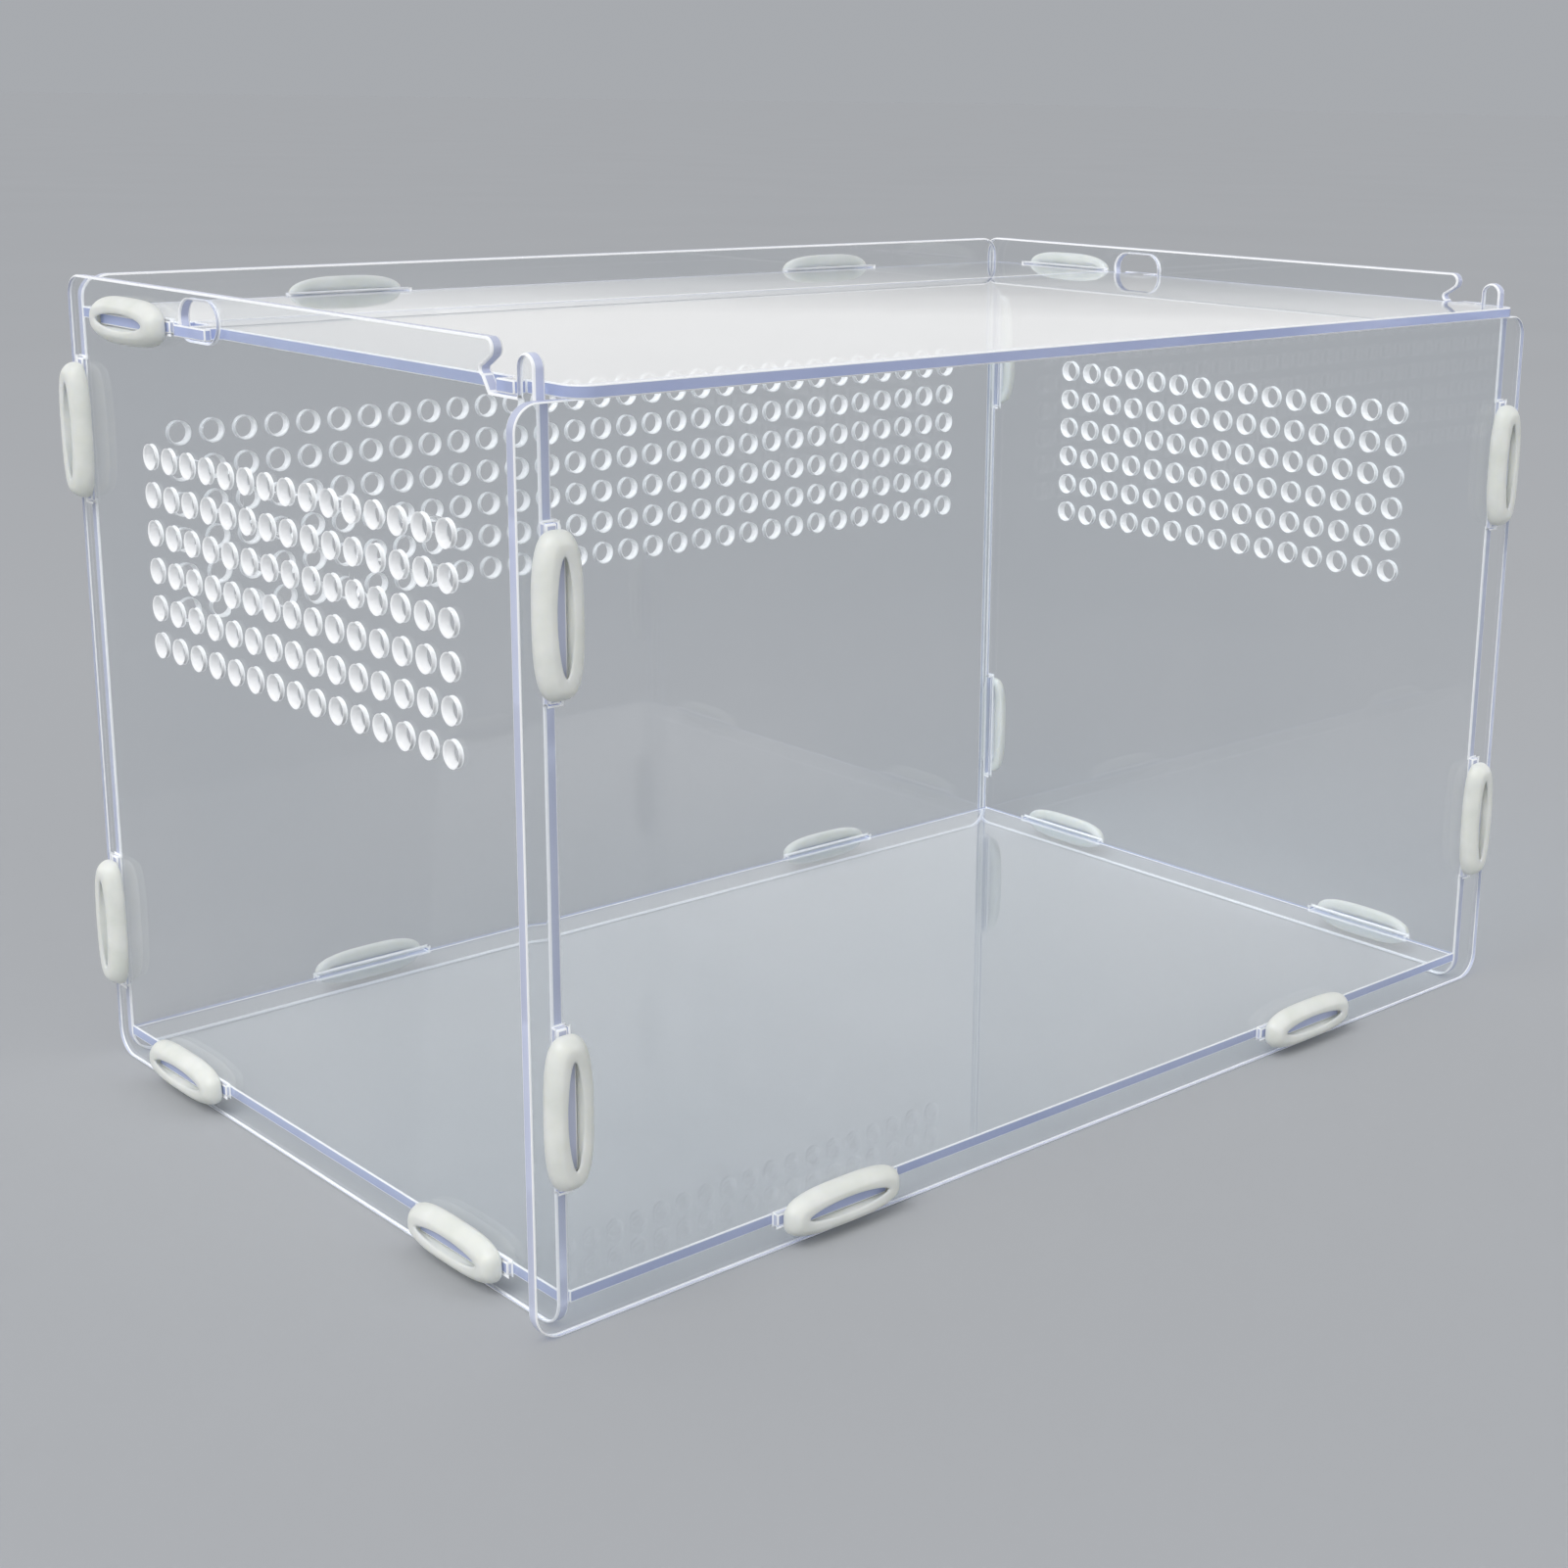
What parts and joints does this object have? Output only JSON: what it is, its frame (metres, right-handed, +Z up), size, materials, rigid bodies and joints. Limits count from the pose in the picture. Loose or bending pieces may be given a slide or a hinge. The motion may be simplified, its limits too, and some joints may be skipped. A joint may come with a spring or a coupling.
{
  "type": "terrarium",
  "caption": "Clear acrylic knock-down terrarium: tabbed walls held by rubber rings, vent fields at the back and sides, a fixed rear top strip and a hinged top lid.",
  "frame": {"origin": "on the ground, under the middle of the box", "axes": "+X along the front to the right, -Y to the front, +Z up"},
  "size_m": [0.3, 0.1892, 0.184],
  "materials": {
    "clear_sheet": "clear polished acrylic with pale blue laser cut edges",
    "ring_rubber": "milky translucent silicone rubber"
  },
  "bodies": {
    "box": {"back_panel": "clear_sheet", "floor_panel": "clear_sheet", "front_panel": "clear_sheet", "left_panel": "clear_sheet", "rear_strip": "clear_sheet", "right_panel": "clear_sheet", "ring_floor_back_left": "ring_rubber", "ring_floor_back_right": "ring_rubber", "ring_floor_front_left": "ring_rubber", "ring_floor_front_right": "ring_rubber", "ring_floor_left_front": "ring_rubber", "ring_floor_left_rear": "ring_rubber", "ring_floor_right_front": "ring_rubber", "ring_floor_right_rear": "ring_rubber", "ring_front_left_lower": "ring_rubber", "ring_front_left_upper": "ring_rubber", "ring_front_right_lower": "ring_rubber", "ring_front_right_upper": "ring_rubber", "ring_rear_left_lower": "ring_rubber", "ring_rear_left_upper": "ring_rubber", "ring_rear_right_lower": "ring_rubber", "ring_rear_right_upper": "ring_rubber", "ring_strip_back_left": "ring_rubber", "ring_strip_back_right": "ring_rubber", "ring_strip_left": "ring_rubber", "ring_strip_right": "ring_rubber"},
    "lid_flap": {"lid": "clear_sheet"}
  },
  "joints": [
    {"name": "lid_hinge", "type": "hinge", "parent": "box", "child": "lid_flap", "pos_m": [0, 0.03435, 0.1747], "axis": [-1, 0, 0], "range_deg": [0, 95]}
  ]
}
